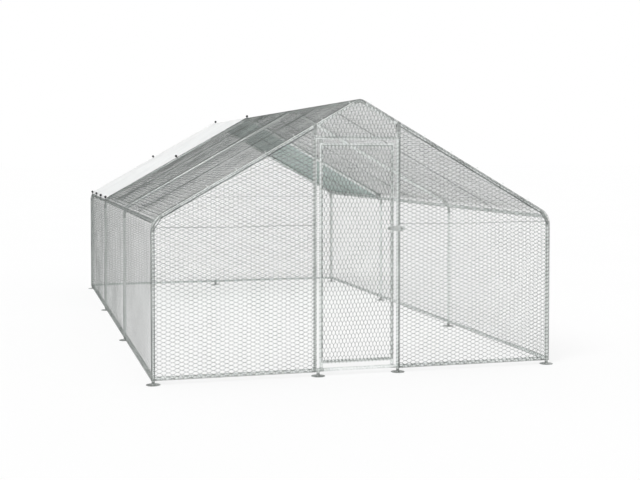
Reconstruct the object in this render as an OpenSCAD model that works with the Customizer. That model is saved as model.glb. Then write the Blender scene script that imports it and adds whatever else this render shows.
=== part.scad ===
// Walk-in poultry run: galvanised tube portals, wire netting, net door and rear roof cover.
// Frame: origin on the ground under the middle of the run, +Z up, door at -Y, length along Y.

/* [Run] */
// Width between the wall post axes
run_w = 3000; // [2000:10:4000]
// Length of one bay between two portals
bay_l = 1975; // [1500:5:2500]
// Height where the wall post and rafter axes meet
eave_h = 1138; // [900:2:1400]
// Height where the two rafter axes meet
ridge_h = 1994; // [1600:2:2400]
// Height of the base rail axis
base_h = 45; // [35:1:70]

/* [Tube] */
// Outer diameter of all frame tubes
tube_d = 25; // [20:0.5:32]
// Wall of all frame tubes
tube_wall = 1; // [0.8:0.1:2]
// Axis radius of the eave bends
eave_bend_r = 100; // [60:5:160]
// Axis radius of the ridge bends
ridge_bend_r = 50; // [40:5:90]
// Straight leg at each end of a bend
bend_leg = 20; // [10:1:40]
// Half height of a base fitting
fitting_arm = 20; // [17:1:28]
// Length of a spigot that plugs into a tube
spigot_l = 45; // [25:1:70]

/* [Feet] */
// Diameter of a foot plate
foot_d = 100; // [70:1:140]
// Thickness of a foot plate
foot_t = 3; // [2:0.5:5]

/* [Door] */
// Middle of the doorway, from the middle of the gable
door_x = -20; // [-150:5:150]
// Width between the door post axes
doorway_w = 632; // [560:2:900]
// Distance from a door post axis to the stile axis beside it
stile_step = 46; // [40:1:60]
// Drop of the lintel axis below the rafter axis, at the outermost door post
lintel_drop = 82; // [75:1:160]
// Gap between the lintel and the stile tops
head_gap = 24; // [10:1:40]
// Height of the door's low rail axis
low_rail_h = 102; // [85:1:130]
// Distance from the stile tops down to the top rail axis
top_rail_drop = 16; // [14:1:40]
// Diameter of the shank that holds the top hinge pin in the lintel
hinge_shank_d = 10; // [8:1:12]
// Diameter of the lintel bolts
lintel_bolt_d = 8; // [6:1:10]

/* [Hasp] */
// Height of the hasp
hasp_h = 1060; // [800:5:1300]
// Width of the hasp strap
hasp_w = 34; // [30:1:44]
// Thickness of the hasp strap
hasp_t = 2.5; // [2:0.5:4]
// Reach of the hasp strap past the right door post axis
hasp_reach = 50; // [45:1:80]
// Diameter of the hasp's hinge pin
hasp_pin_d = 5; // [4:0.5:6]
// Wall of the hasp's knuckles
knuckle_wall = 2.5; // [2:0.5:4]
// Diameter of the stud that the hasp closes over
stud_d = 8; // [6:1:10]
// Length of the stud in front of the hasp strap
stud_nose = 12; // [9:1:14]
// Diameter of the hasp's hole for the stud
stud_hole_d = 16; // [16:1:20]

/* [Clamps] */
// Thickness of all strap clamps
strap_t = 2; // [1.5:0.5:3]
// Width of all strap clamps
strap_w = 26; // [20:1:36]
// Length of the rafter clamp legs below the rafter axis
clamp_leg = 62; // [54:1:76]
// Diameter of the clamp bolts
clamp_bolt_d = 6; // [5:1:8]

/* [Netting] */
// Thickness of a netting panel
net_t = 1.5; // [1:0.5:3]
// Width of a strand between two gaps
net_strand = 14; // [8:1:24]
// Width of the solid selvedge round a panel
net_border = 16; // [10:1:30]
// Width of a gap between opposite flats, walls and roof
net_cell = 500; // [300:10:600]
// Width of a gap between opposite flats, door and gable
door_mesh_w = 180; // [120:10:260]

/* [Cover] */
// Thickness of the roof cover
cover_t = 2; // [1:0.5:4]
// Distance of the cover's lower edge from the eave corner, along the slope
cover_edge = 8; // [4:1:12]
// Reach of the cover past the rafters at its two ends
cover_lap = 8; // [4:1:12]
// Diameter of a tie's ball
ball_d = 26; // [20:1:34]
// Diameter of a tie's elastic cord
tie_cord_d = 4; // [3:0.5:5]
// Diameter of the eyelets in the cover
eyelet_d = 12; // [10:1:16]
// Radius of an eave tie's loop round the purlin
eave_loop_r = 40; // [38:1:46]
// Radius of a rafter tie's loop
rafter_loop_r = 27; // [26:1:34]
// Radius of a ridge tie's loop
ridge_loop_r = 34; // [33:1:40]

/* [Clearances] */
// Radial gap between a spigot and its tube
fit_gap = 0.2; // [0.1:0.05:0.4]
// Gap between the ends of pieces that butt
end_gap = 0.3; // [0.1:0.05:0.6]
// Gap between netting or cover and what it lies on
skin_gap = 0.4; // [0.3:0.05:0.8]
// Radial gap of a bearing that turns or slides
run_gap = 0.05; // [0.03:0.01:0.1]
// Radial gap of a strap round its tube and of a bolt in its hole
strap_gap = 0.15; // [0.1:0.05:0.3]
// Gap between pieces that swing past each other
swing_gap = 0.5; // [0.4:0.1:1]

/* [Hidden] */
$fn = 48;

// Overshoot of all cutting shapes
cut = 1;

zinc = [0.74, 0.77, 0.76];
dark_zinc = [0.55, 0.57, 0.57];
wire_grey = [0.66, 0.70, 0.68];

last_portal = 3;
half_w = run_w / 2;
half_l = last_portal * bay_l / 2;
function portal_y(k) = k * bay_l - half_l;

tube_r = tube_d / 2;
bore_r = tube_r - tube_wall;
spigot_r = bore_r - fit_gap;
spigot_bore_r = spigot_r - tube_wall;

pitch = atan((ridge_h - eave_h) / half_w);
rafter_l = half_w / cos(pitch);
eave_turn = 90 - pitch;
eave_tan = eave_bend_r * tan(eave_turn / 2);
ridge_tan = ridge_bend_r * tan(pitch);
post_top = eave_h - eave_tan - bend_leg - end_gap;
post_foot = base_h + fitting_arm + end_gap;

// Middle of the eave bend on the left, where the purlin stubs stand
eave_c = [eave_bend_r - half_w, eave_h - eave_tan];
eave_mid = eave_c + eave_bend_r * [-cos(eave_turn / 2), sin(eave_turn / 2)];
ridge_c = ridge_h - ridge_bend_r / cos(pitch);
ridge_mid = ridge_c + ridge_bend_r;
function rafter_z(x) = ridge_h - abs(x) * tan(pitch);

// Door layout along X, on the front portal's plane
post_l_x = door_x - doorway_w / 2;
post_r_x = door_x + doorway_w / 2;
stile_l_x = post_l_x + stile_step;
stile_r_x = post_r_x - stile_step;
hinge_foot_x = (post_l_x + stile_l_x) / 2;
hinge_base_wall = 4;
hinge_base_out = tube_r + hinge_base_wall;
lintel_h = rafter_z(max(abs(post_l_x), abs(post_r_x))) - lintel_drop;
stile_low = base_h + fitting_arm + end_gap;
stile_top = lintel_h - tube_r - head_gap;
top_rail_h = stile_top - top_rail_drop;
hinge_r = bore_r - run_gap;

// Bends are drawn this much thinner than their straight legs, and the legs lap onto them
bend_thin = 0.5;
bend_lap = 2;

// Straps, bolts and the hasp
strap_in = tube_r + strap_gap;
strap_out = strap_in + strap_t;
clamp_bolt_drop = clamp_leg - strap_w / 2;
post_head_gap = (strap_out + tube_r * sin(pitch)) / cos(pitch) + end_gap;
head_h = 4;
hex_factor = 0.9;
thread_end = 2;
ear_gap = 3;
ear_mid = strap_out + stud_d;
ear_rim = 1;
ear_end = ear_mid + stud_d + ear_rim;
ear_face = ear_gap / 2 + strap_t + strap_gap;
knuckle_in = hasp_pin_d / 2 + run_gap;
knuckle_r = knuckle_in + knuckle_wall;
knuckle_h = hasp_w / 3;
hasp_y = -(strap_out + knuckle_r + swing_gap);

// Netting and cover heights above the rafter axes
net_n = tube_r + skin_gap;
cover_n = net_n + net_t + skin_gap;
cover_top_n = cover_n + cover_t;
net_low = base_h - tube_r;
corner_gap = 1;
tie_inset = 40;
slot_play = 2;
slot_w = tie_cord_d + 2 * slot_play;
slot_over = 10;
zone_gap = 3;

// Building blocks

module pipe(l, r_out = tube_r, r_in = bore_r) {
  difference() {
    cylinder(h = l, r = r_out);
    translate([0, 0, -cut]) cylinder(h = l + 2 * cut, r = r_in);
  }
}

module pipe_y(x, z, y0, y1) {
  translate([x, y0, z]) rotate([-90, 0, 0]) pipe(y1 - y0);
}

module pipe_x(x0, x1, y, z) {
  translate([x0, y, z]) rotate([0, 90, 0]) pipe(x1 - x0);
}

module pipe_z(x, y, z0, z1) {
  translate([x, y, z0]) pipe(z1 - z0);
}

// Moves children to a place on the left rafter axis, with +Z up the slope and -X off the roof
module on_slope(s) {
  translate([-half_w, 0, eave_h]) rotate([0, 90 - pitch, 0]) translate([0, 0, s]) children();
}

module both_sides(side) {
  if (side < 0) children();
  else mirror([1, 0, 0]) children();
}

// Arc of a round bar in the XZ plane, from angle a0 over angle da
module arc_bar(centre, radius, a0, da, r) {
  translate([centre[0], 0, centre[1]]) rotate([90, 0, 0]) rotate([0, 0, a0])
    rotate_extrude(angle = da, $fn = 96) translate([radius, 0]) circle(r);
}

// Bolt along +Z with its head under z = 0 and its nut above the grip
module hex_bolt(d, grip) {
  cylinder(h = grip + head_h + thread_end, r = d / 2);
  for (z = [-head_h, grip]) translate([0, 0, z]) cylinder(h = head_h, r = d * hex_factor, $fn = 6);
}

// Walls and roof frame

module wall_post(side, k) {
  color(zinc) both_sides(side) pipe_z(-half_w, portal_y(k), post_foot, post_top);
}

module rafter(side, k) {
  s0 = eave_tan + bend_leg + end_gap;
  s1 = rafter_l - ridge_tan - bend_leg - end_gap;
  color(zinc) both_sides(side) translate([0, portal_y(k), 0]) on_slope(s0) pipe(s1 - s0);
}

// Bent bar over the left eave with straight ends of the given length
module eave_bar(r, leg) {
  arc_bar(eave_c, eave_bend_r, 180 - eave_turn, eave_turn, r - bend_thin);
  translate([-half_w, 0, eave_c[1] - leg]) cylinder(h = leg + bend_lap, r = r);
  on_slope(eave_tan - bend_lap) cylinder(h = leg + bend_lap, r = r);
}

// Stub or bore along Y at both or one side of a portal
module purlin_stub(k, from, to, r) {
  if (k > 0) translate([0, -from, 0]) rotate([90, 0, 0]) cylinder(h = to - from, r = r);
  if (k < last_portal) translate([0, from, 0]) rotate([-90, 0, 0]) cylinder(h = to - from, r = r);
}

module eave_bend(k) {
  stub_end = tube_r + spigot_l;
  difference() {
    union() {
      eave_bar(tube_r, bend_leg);
      translate([-half_w, 0, eave_c[1] - bend_leg - spigot_l])
        cylinder(h = spigot_l + bend_leg / 2, r = spigot_r);
      on_slope(eave_tan + bend_leg / 2) cylinder(h = spigot_l + bend_leg / 2, r = spigot_r);
      translate([eave_mid[0], 0, eave_mid[1]]) purlin_stub(k, 0, stub_end, spigot_r);
    }
    eave_bar(spigot_bore_r, bend_leg + spigot_l + cut);
    translate([eave_mid[0], 0, eave_mid[1]]) purlin_stub(k, tube_r, stub_end + cut, spigot_bore_r);
  }
}

module eave_bends(side) {
  color(zinc) both_sides(side) for (k = [0:last_portal]) translate([0, portal_y(k), 0]) eave_bend(k);
}

// Bent bar over the ridge with straight ends of the given length
module ridge_bar(r, leg) {
  arc_bar([0, ridge_c], ridge_bend_r, 90 - pitch, 2 * pitch, r - bend_thin);
  for (side = [-1, 1]) both_sides(side) on_slope(rafter_l - ridge_tan - leg)
    cylinder(h = leg + bend_lap, r = r);
}

module ridge_bend(k) {
  stub_end = tube_r + spigot_l;
  difference() {
    union() {
      ridge_bar(tube_r, bend_leg);
      for (side = [-1, 1]) both_sides(side) on_slope(rafter_l - ridge_tan - bend_leg - spigot_l)
        cylinder(h = spigot_l + bend_leg / 2, r = spigot_r);
      translate([0, 0, ridge_mid]) purlin_stub(k, 0, stub_end, spigot_r);
    }
    ridge_bar(spigot_bore_r, bend_leg + spigot_l + cut);
    translate([0, 0, ridge_mid]) purlin_stub(k, tube_r, stub_end + cut, spigot_bore_r);
  }
}

module ridge_bends() {
  color(zinc) for (k = [0:last_portal]) translate([0, portal_y(k), 0]) ridge_bend(k);
}

// Tubes along Y between neighbouring portals
module bay_tubes(x, z) {
  color(zinc) for (k = [0:last_portal - 1])
    pipe_y(x, z, portal_y(k) + tube_r + end_gap, portal_y(k + 1) - tube_r - end_gap);
}

module ridge_purlins() { bay_tubes(0, ridge_mid); }
module eave_purlins(side) { both_sides(side) bay_tubes(eave_mid[0], eave_mid[1]); }
module base_rails(side) { both_sides(side) bay_tubes(-half_w, base_h); }

module back_rails() {
  color(zinc) for (side = [-1, 1]) both_sides(side)
    pipe_x(tube_r + end_gap - half_w, -tube_r - end_gap, half_l, base_h);
}

module front_rails() {
  color(zinc) {
    pipe_x(tube_r + end_gap - half_w, post_l_x - hinge_base_out - end_gap, -half_l, base_h);
    pipe_x(post_r_x + tube_r + end_gap, half_w - tube_r - end_gap, -half_l, base_h);
  }
}

module threshold_rail() {
  color(zinc) pipe_x(stile_l_x + hinge_base_out + end_gap, post_r_x - tube_r - end_gap, -half_l, base_h);
}

// Base fittings and feet

// Upright socket with rail spigots at the given angles, and a post spigot where it carries a post
module base_fitting(angles, post) {
  stem_top = base_h + fitting_arm - tube_wall;
  difference() {
    union() {
      translate([0, 0, base_h - fitting_arm]) cylinder(h = 2 * fitting_arm, r = tube_r);
      if (post) translate([0, 0, base_h]) cylinder(h = fitting_arm + spigot_l, r = spigot_r);
      for (a = angles) translate([0, 0, base_h]) rotate([0, 90, a])
        cylinder(h = tube_r + end_gap + spigot_l, r = spigot_r);
    }
    translate([0, 0, base_h - fitting_arm - cut])
      cylinder(h = 2 * fitting_arm + cut - tube_wall, r = bore_r);
    if (post) translate([0, 0, stem_top - cut])
      cylinder(h = spigot_l + tube_wall + 2 * cut, r = spigot_bore_r);
    for (a = angles) translate([0, 0, base_h]) rotate([0, 90, a]) translate([0, 0, tube_r])
      cylinder(h = end_gap + spigot_l + cut, r = spigot_bore_r);
  }
}

module base_fittings() {
  color(zinc) {
    for (side = [-1, 1], k = [0:last_portal]) both_sides(side) translate([-half_w, portal_y(k), 0])
      base_fitting([if (k == 0 || k == last_portal) 0, if (k < last_portal) 90, if (k > 0) -90], true);
    translate([post_r_x, -half_l, 0]) base_fitting([0, 180], true);
    translate([0, half_l, 0]) base_fitting([0, 180], false);
  }
}

// Twin fitting: left door post, the door's lower hinge pin, and one foot between them
module hinge_base() {
  x0 = post_l_x - hinge_base_out;
  x1 = stile_l_x + hinge_base_out;
  color(zinc) translate([0, -half_l, base_h]) difference() {
    union() {
      translate([x0, 0, 0]) rotate([0, 90, 0]) cylinder(h = x1 - x0, r = tube_r);
      translate([x0 - end_gap - spigot_l, 0, 0]) rotate([0, 90, 0])
        cylinder(h = x1 - x0 + 2 * (end_gap + spigot_l), r = spigot_r);
      for (x = [post_l_x, stile_l_x]) translate([x, 0, 0]) cylinder(h = fitting_arm, r = tube_r);
      translate([post_l_x, 0, 0]) cylinder(h = fitting_arm + spigot_l, r = spigot_r);
      translate([stile_l_x, 0, 0]) cylinder(h = fitting_arm + spigot_l, r = hinge_r);
      translate([hinge_foot_x, 0, -fitting_arm]) cylinder(h = fitting_arm, r = tube_r);
    }
    translate([hinge_foot_x, 0, -fitting_arm - cut]) cylinder(h = fitting_arm + cut, r = bore_r);
    for (x = [post_l_x, stile_l_x]) translate([x, 0, fitting_arm])
      cylinder(h = spigot_l + cut, r = spigot_bore_r);
    for (x = [x0 - end_gap - spigot_l - cut, x1]) translate([x, 0, 0]) rotate([0, 90, 0])
      cylinder(h = end_gap + spigot_l + cut, r = spigot_bore_r);
  }
}

module foot_plate(stem_top) {
  weld = 3;
  stem_floor = 1;
  cylinder(h = foot_t, r = foot_d / 2);
  cylinder(h = foot_t + weld, r1 = tube_r + weld, r2 = tube_r);
  difference() {
    cylinder(h = stem_top, r = spigot_r);
    translate([0, 0, foot_t + stem_floor]) cylinder(h = stem_top, r = spigot_bore_r);
  }
}

module foot_plates() {
  stem_top = base_h + fitting_arm - tube_wall - end_gap;
  color(dark_zinc) {
    for (side = [-1, 1], k = [0:last_portal]) translate([side * half_w, portal_y(k), 0])
      foot_plate(stem_top);
    translate([post_r_x, -half_l, 0]) foot_plate(stem_top);
    translate([0, half_l, 0]) foot_plate(stem_top);
    translate([hinge_foot_x, -half_l, 0]) foot_plate(base_h - end_gap);
  }
}

// Door frame in the front gable

module door_post(x) {
  top = rafter_z(x) - post_head_gap;
  color(zinc) difference() {
    pipe_z(x, -half_l, post_foot, top);
    translate([x, -half_l - tube_d, rafter_z(x) - clamp_bolt_drop]) rotate([-90, 0, 0])
      cylinder(h = 2 * tube_d, r = clamp_bolt_d / 2 + strap_gap);
    translate([x - tube_d, -half_l, lintel_h]) rotate([0, 90, 0])
      cylinder(h = 2 * tube_d, r = lintel_bolt_d / 2 + strap_gap);
  }
}

module lintel() {
  color(zinc) difference() {
    pipe_x(post_l_x, post_r_x, -half_l, lintel_h);
    for (x = [post_l_x, post_r_x]) translate([x, -half_l, lintel_h - tube_d])
      cylinder(h = 2 * tube_d, r = tube_r + end_gap);
    translate([stile_l_x, -half_l, lintel_h - tube_d])
      cylinder(h = 2 * tube_d, r = hinge_shank_d / 2 + strap_gap);
  }
}

// Threaded plugs in the lintel's ends, short of the hinge pin's shank
plug_l = stile_step - tube_r - hinge_shank_d;
module lintel_plugs() {
  color(dark_zinc) for (end = [[post_l_x, 1], [post_r_x, -1]])
    translate([end[0] + end[1] * (tube_r + end_gap), -half_l, lintel_h]) rotate([0, 90 * end[1], 0])
      difference() {
        cylinder(h = plug_l, r = spigot_r);
        translate([0, 0, -cut]) cylinder(h = plug_l + 2 * cut, r = lintel_bolt_d / 2 + strap_gap);
      }
}

module lintel_bolts() {
  color(dark_zinc) for (end = [[post_l_x, 1], [post_r_x, -1]])
    translate([end[0] - end[1] * (tube_r + strap_gap), -half_l, lintel_h]) rotate([0, 90 * end[1], 0]) {
      cylinder(h = tube_d + plug_l, r = lintel_bolt_d / 2);
      translate([0, 0, -head_h]) cylinder(h = head_h, r = lintel_bolt_d * hex_factor, $fn = 6);
    }
}

// Strap looped over a front rafter, with two legs bolted to the door post under it
module rafter_clamp(x) {
  side = x < 0 ? -1 : 1;
  z = rafter_z(x);
  difference() {
    union() {
      both_sides(side) translate([0, -half_l, 0]) on_slope((half_w - abs(x)) / cos(pitch) - strap_w / 2)
        cylinder(h = strap_w, r = strap_out);
      for (y = [-strap_out, strap_in]) translate([x - strap_w / 2, y - half_l, z - clamp_leg])
        cube([strap_w, strap_t, clamp_leg]);
    }
    both_sides(side) translate([0, -half_l, 0]) on_slope((half_w - abs(x)) / cos(pitch) - strap_w)
      cylinder(h = 2 * strap_w, r = strap_in);
    translate([x, -half_l - tube_d, z - clamp_bolt_drop]) rotate([-90, 0, 0])
      cylinder(h = 2 * tube_d, r = clamp_bolt_d / 2 + strap_gap);
  }
}

module rafter_clamps() {
  color(zinc) for (x = [post_l_x, post_r_x]) rafter_clamp(x);
}

module clamp_bolts() {
  y0 = strap_out + strap_gap;
  color(dark_zinc) for (x = [post_l_x, post_r_x])
    translate([x, -half_l - y0, rafter_z(x) - clamp_bolt_drop]) rotate([-90, 0, 0])
      hex_bolt(clamp_bolt_d, 2 * y0);
}

// Stepped pin: headed shank through the lintel, collar, and bearing inside the hinge stile
module hinge_pin() {
  color(dark_zinc) translate([stile_l_x, -half_l, 0]) {
    translate([0, 0, stile_top - spigot_l]) cylinder(h = spigot_l + head_gap / 2, r = hinge_r);
    translate([0, 0, stile_top + end_gap]) cylinder(h = head_gap - 2 * end_gap, r = tube_r);
    translate([0, 0, stile_top]) cylinder(h = head_gap + tube_d + head_h, r = hinge_shank_d / 2);
    translate([0, 0, lintel_h + tube_r + end_gap]) cylinder(h = head_h, r = hinge_shank_d * hex_factor);
  }
}

// Strap round a tube with a pair of bolted ears towards +X
module eared_strap(bolt_d) {
  difference() {
    union() {
      cylinder(h = strap_w, r = strap_out, center = true);
      translate([0, -ear_gap / 2 - strap_t, -strap_w / 2])
        cube([ear_end, ear_gap + 2 * strap_t, strap_w]);
    }
    cylinder(h = strap_w + 2 * cut, r = strap_in, center = true);
    translate([0, -ear_gap / 2, -strap_w]) cube([ear_end + cut, ear_gap, 2 * strap_w]);
    translate([ear_mid, -tube_d, 0]) rotate([-90, 0, 0])
      cylinder(h = 2 * tube_d, r = bolt_d / 2 + strap_gap);
  }
}

// Strap round the right door post, with a tab behind the door that stops it swinging in
module hasp_keeper() {
  tab_y = strap_out + skin_gap;
  pad_w = strap_in;
  color(zinc) translate([post_r_x, -half_l, hasp_h]) {
    eared_strap(stud_d);
    difference() {
      union() {
        translate([-stile_step - strap_in, tab_y, -strap_w / 2])
          cube([stile_step + strap_in, strap_t, strap_w]);
        translate([-pad_w / 2, 0, -strap_w / 2]) cube([pad_w, tab_y + strap_t, strap_w]);
      }
      cylinder(h = 2 * strap_w, r = strap_in, center = true);
    }
  }
}

// Stud through the keeper's ears, with a cross hole in its nose for a pin or padlock
module hasp_stud() {
  nose = -hasp_y + hasp_t / 2 + stud_nose - ear_face;
  color(dark_zinc) translate([post_r_x + ear_mid, -half_l - ear_face, hasp_h]) difference() {
    rotate([-90, 0, 0]) {
      hex_bolt(stud_d, 2 * ear_face);
      translate([0, 0, -nose]) cylinder(h = nose, r = stud_d / 2);
    }
    translate([0, stud_d / 2 - nose, -stud_d]) cylinder(h = 2 * stud_d, r = stud_d / 4);
  }
}

// Netting

function inward(p, q) = let (d = q - p) [-d[1], d[0]] / norm(d);

// Convex outline moved in by b
function inset(pts, b) = let (n = len(pts)) [for (i = [0:n - 1])
  let (n1 = inward(pts[(i + n - 1) % n], pts[i]), n2 = inward(pts[i], pts[(i + 1) % n]))
    pts[i] + b * (n1 + n2) / (1 + n1 * n2)];

// Honeycomb of gaps over a rectangle, with corners along the first axis
module honeycomb(x0, x1, y0, y1, cell) {
  gap_r = (cell - net_strand) / sqrt(3);
  step_x = cell * sqrt(3) / 2;
  cols = ceil((x1 - x0) / step_x);
  rows = ceil((y1 - y0) / cell);
  for (i = [0:cols], j = [0:rows])
    translate([x0 + i * step_x, y0 + (j + (i % 2) / 2) * cell]) circle(gap_r, $fn = 6);
}

module net_sheet(pts, cell, turned) {
  xs = [for (p = pts) p[0]];
  ys = [for (p = pts) p[1]];
  linear_extrude(net_t) difference() {
    polygon(pts);
    intersection() {
      polygon(inset(pts, net_border));
      if (turned) mirror([1, -1, 0]) honeycomb(min(ys), max(ys), min(xs), max(xs), cell);
      else honeycomb(min(xs), max(xs), min(ys), max(ys), cell);
    }
  }
}

function rectangle(x0, x1, y0, y1) = [[x0, y0], [x1, y0], [x1, y1], [x0, y1]];

// Outline of the gable from x0 to x1: edge of the rafters, cut across the eave bends
gable_n = tube_r / 2;
chord_x = half_w - eave_tan * cos(pitch) + gable_n * sin(pitch);
function gable_top(x) = rafter_z(x) + gable_n / cos(pitch);
function gable(x0, x1, z0) = concat([[x0, z0], [x1, z0]],
  x1 > chord_x ? [[x1, eave_h - eave_tan], [chord_x, gable_top(chord_x)]] : [[x1, gable_top(x1)]],
  x0 < 0 && x1 > 0 ? [[0, gable_top(0)]] : [],
  x0 < -chord_x ? [[-chord_x, gable_top(chord_x)], [x0, eave_h - eave_tan]] : [[x0, gable_top(x0)]]);

// Stands a sheet drawn in XZ up in front of the gable at -Y or behind the one at +Y
module upright(y) {
  translate([0, y, 0]) rotate([90, 0, 0]) children();
}

// Room left in the netting for a rafter clamp
module clamp_zone(x) {
  half = strap_w / 2 + strap_out * sin(pitch) + zone_gap;
  translate([x - half, -half_l - tube_d, rafter_z(x) - clamp_leg - zone_gap])
    cube([2 * half, 2 * tube_d, clamp_leg + 2 * strap_out + strap_w]);
}

// Room left in the netting for the hasp's straps and stud
module hasp_zone(x0, x1) {
  translate([x0, -half_l - tube_d, hasp_h - hasp_w / 2 - zone_gap])
    cube([x1 - x0, tube_d, hasp_w + 2 * zone_gap]);
}

front_y = -half_l - tube_r - skin_gap;
edge_x = half_w + tube_r;

module net_front_left() {
  color(wire_grey) difference() {
    upright(front_y) net_sheet(gable(-edge_x, post_l_x - end_gap, net_low), net_cell, false);
    clamp_zone(post_l_x);
  }
}

module net_front_right() {
  color(wire_grey) difference() {
    upright(front_y) net_sheet(gable(post_r_x + end_gap, edge_x, net_low), net_cell, false);
    clamp_zone(post_r_x);
    hasp_zone(post_r_x, post_r_x + ear_mid + stud_d);
  }
}

module net_gable() {
  color(wire_grey) difference() {
    upright(front_y) net_sheet(gable(post_l_x + end_gap, post_r_x - end_gap, lintel_h), door_mesh_w, true);
    clamp_zone(post_l_x);
    clamp_zone(post_r_x);
  }
}

module net_back() {
  color(wire_grey) upright(half_l + tube_r + skin_gap + net_t)
    net_sheet(gable(-edge_x, edge_x, net_low), net_cell, false);
}

// Places of the cover's ties along the rear bay
bay_y0 = portal_y(last_portal - 1);
bay_y1 = portal_y(last_portal);
eave_tie_ys = [for (i = [0:3]) bay_y0 + tie_inset + i * (bay_l - 2 * tie_inset) / 3];
ridge_tie_ys = [bay_y0 + tie_inset, bay_y1 - tie_inset];
mid_s = rafter_l / 2;

// Slots that let the eave ties through a wall net
module wall_tie_slots() {
  for (y = eave_tie_ys) translate([-half_w - tube_d, y - slot_w / 2, eave_h - eave_loop_r - slot_over])
    cube([tube_d, slot_w, 2 * eave_loop_r]);
}

module wall_net(side) {
  top = eave_h + net_n * (1 - sin(pitch)) / cos(pitch) - corner_gap;
  color(wire_grey) both_sides(side) difference() {
    translate([-half_w - net_n, 0, 0]) rotate([90, 0, -90])
      net_sheet(rectangle(-half_l - tube_r, half_l + tube_r, net_low, top), net_cell, false);
    wall_tie_slots();
  }
}

// Roof sheet axes: Y along the run and Z up the slope, standing off the rafters along -X
module roof_net(side) {
  low = -tan((90 - pitch) / 2) * (net_n + net_t);
  high = rafter_l + net_n * tan(pitch) - corner_gap;
  color(wire_grey) both_sides(side) difference() {
    on_slope(0) translate([-net_n, 0, 0]) rotate([90, 0, -90])
      net_sheet(rectangle(-half_l - tube_r, half_l + tube_r, low, high), net_cell, false);
    for (y = eave_tie_ys) on_slope(low - cut) translate([-tube_d, y - slot_w / 2, 0])
      cube([tube_d, slot_w, eave_loop_r + slot_over - low]);
    for (y = ridge_tie_ys) on_slope(rafter_l - ridge_loop_r - slot_over)
      translate([-tube_d, y - slot_w / 2, 0]) cube([tube_d, slot_w, 2 * ridge_loop_r]);
    for (y = [bay_y0, bay_y1]) on_slope(mid_s - slot_w / 2)
      translate([-tube_d, y - rafter_loop_r - slot_over, 0])
        cube([tube_d, 2 * (rafter_loop_r + slot_over), slot_w]);
    clamp_zone(side < 0 ? post_l_x : -post_r_x);
  }
}

// Rear roof cover and its ties

eave_mid_s = eave_tan - eave_bend_r * sin(eave_turn / 2);
eave_mid_n = eave_bend_r * (1 - cos(eave_turn / 2));
eave_eyelet_s = eave_mid_s + sqrt(pow(eave_loop_r, 2) - pow(eave_mid_n + cover_n + cover_t / 2, 2));
mid_eyelet_y = sqrt(pow(rafter_loop_r, 2) - pow(cover_n + cover_t / 2, 2));
ridge_mid_n = (ridge_h - ridge_mid) * cos(pitch);
ridge_eyelet_s = rafter_l - (ridge_h - ridge_mid) * sin(pitch)
  - sqrt(pow(ridge_loop_r, 2) - pow(ridge_mid_n + cover_n + cover_t / 2, 2));

module eyelet(s, y) {
  on_slope(s) translate([-2 * cover_top_n, y, 0]) rotate([0, 90, 0])
    cylinder(h = 2 * cover_top_n, r = eyelet_d / 2);
}

module roof_cover() {
  x_edge = half_w - cover_edge * cos(pitch);
  low = cover_n / cos(pitch);
  high = cover_top_n / cos(pitch);
  color([0.92, 0.93, 0.93]) difference() {
    translate([0, bay_y1 + cover_lap, 0]) rotate([90, 0, 0])
      linear_extrude(bay_l + 2 * cover_lap) polygon([
        [-x_edge, rafter_z(x_edge) + low], [0, ridge_h + low], [x_edge, rafter_z(x_edge) + low],
        [x_edge, rafter_z(x_edge) + high], [0, ridge_h + high], [-x_edge, rafter_z(x_edge) + high]]);
    for (side = [-1, 1]) both_sides(side) {
      for (y = eave_tie_ys) eyelet(eave_eyelet_s, y);
      for (y = ridge_tie_ys) eyelet(ridge_eyelet_s, y);
      eyelet(mid_s, bay_y0 + mid_eyelet_y);
      eyelet(mid_s, bay_y1 - mid_eyelet_y);
    }
  }
}

// Elastic loop
module loop(r) {
  difference() {
    cylinder(h = tie_cord_d, r = r + tie_cord_d / 2, center = true);
    cylinder(h = 2 * tie_cord_d, r = r - tie_cord_d / 2, center = true);
  }
}

module cover_ties() {
  ball_n = cover_top_n + ball_d / 2 + end_gap;
  ball_share = 0.6;
  ball_s = eave_mid_s + (eave_eyelet_s - eave_mid_s) * ball_share;
  color([0.06, 0.06, 0.06]) {
    for (side = [-1, 1]) both_sides(side) {
      for (y = eave_tie_ys) {
        translate([eave_mid[0], y, eave_mid[1]]) rotate([90, 0, 0]) loop(eave_loop_r);
        on_slope(ball_s) translate([-ball_n, y, 0]) rotate([90, 0, 0]) sphere(ball_d / 2);
      }
      for (end = [[bay_y0, 1], [bay_y1, -1]]) on_slope(mid_s) {
        translate([0, end[0], 0]) loop(rafter_loop_r);
        translate([-ball_n, end[0] + end[1] * mid_eyelet_y / 3, 0]) sphere(ball_d / 2);
      }
    }
    for (y = ridge_tie_ys) {
      translate([0, y, ridge_mid]) rotate([90, 0, 0]) loop(ridge_loop_r);
      translate([0, y, ridge_h + cover_top_n / cos(pitch) + ball_d / 2 + end_gap]) rotate([90, 0, 0])
        sphere(ball_d / 2);
    }
  }
}

// Door leaf and hasp

module door_stile(x) {
  color(zinc) pipe_z(x, -half_l, stile_low, stile_top);
}

// End caps that close the latch stile
module stile_caps() {
  cap_t = 2.5;
  plug = 14;
  color(dark_zinc) translate([stile_r_x, -half_l, 0]) {
    translate([0, 0, stile_low - end_gap - cap_t]) cylinder(h = cap_t, r = tube_r);
    translate([0, 0, stile_low - end_gap - cap_t]) cylinder(h = plug, r = spigot_r);
    translate([0, 0, stile_top + end_gap]) cylinder(h = cap_t, r = tube_r);
    translate([0, 0, stile_top + end_gap + cap_t - plug]) cylinder(h = plug, r = spigot_r);
  }
}

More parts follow.
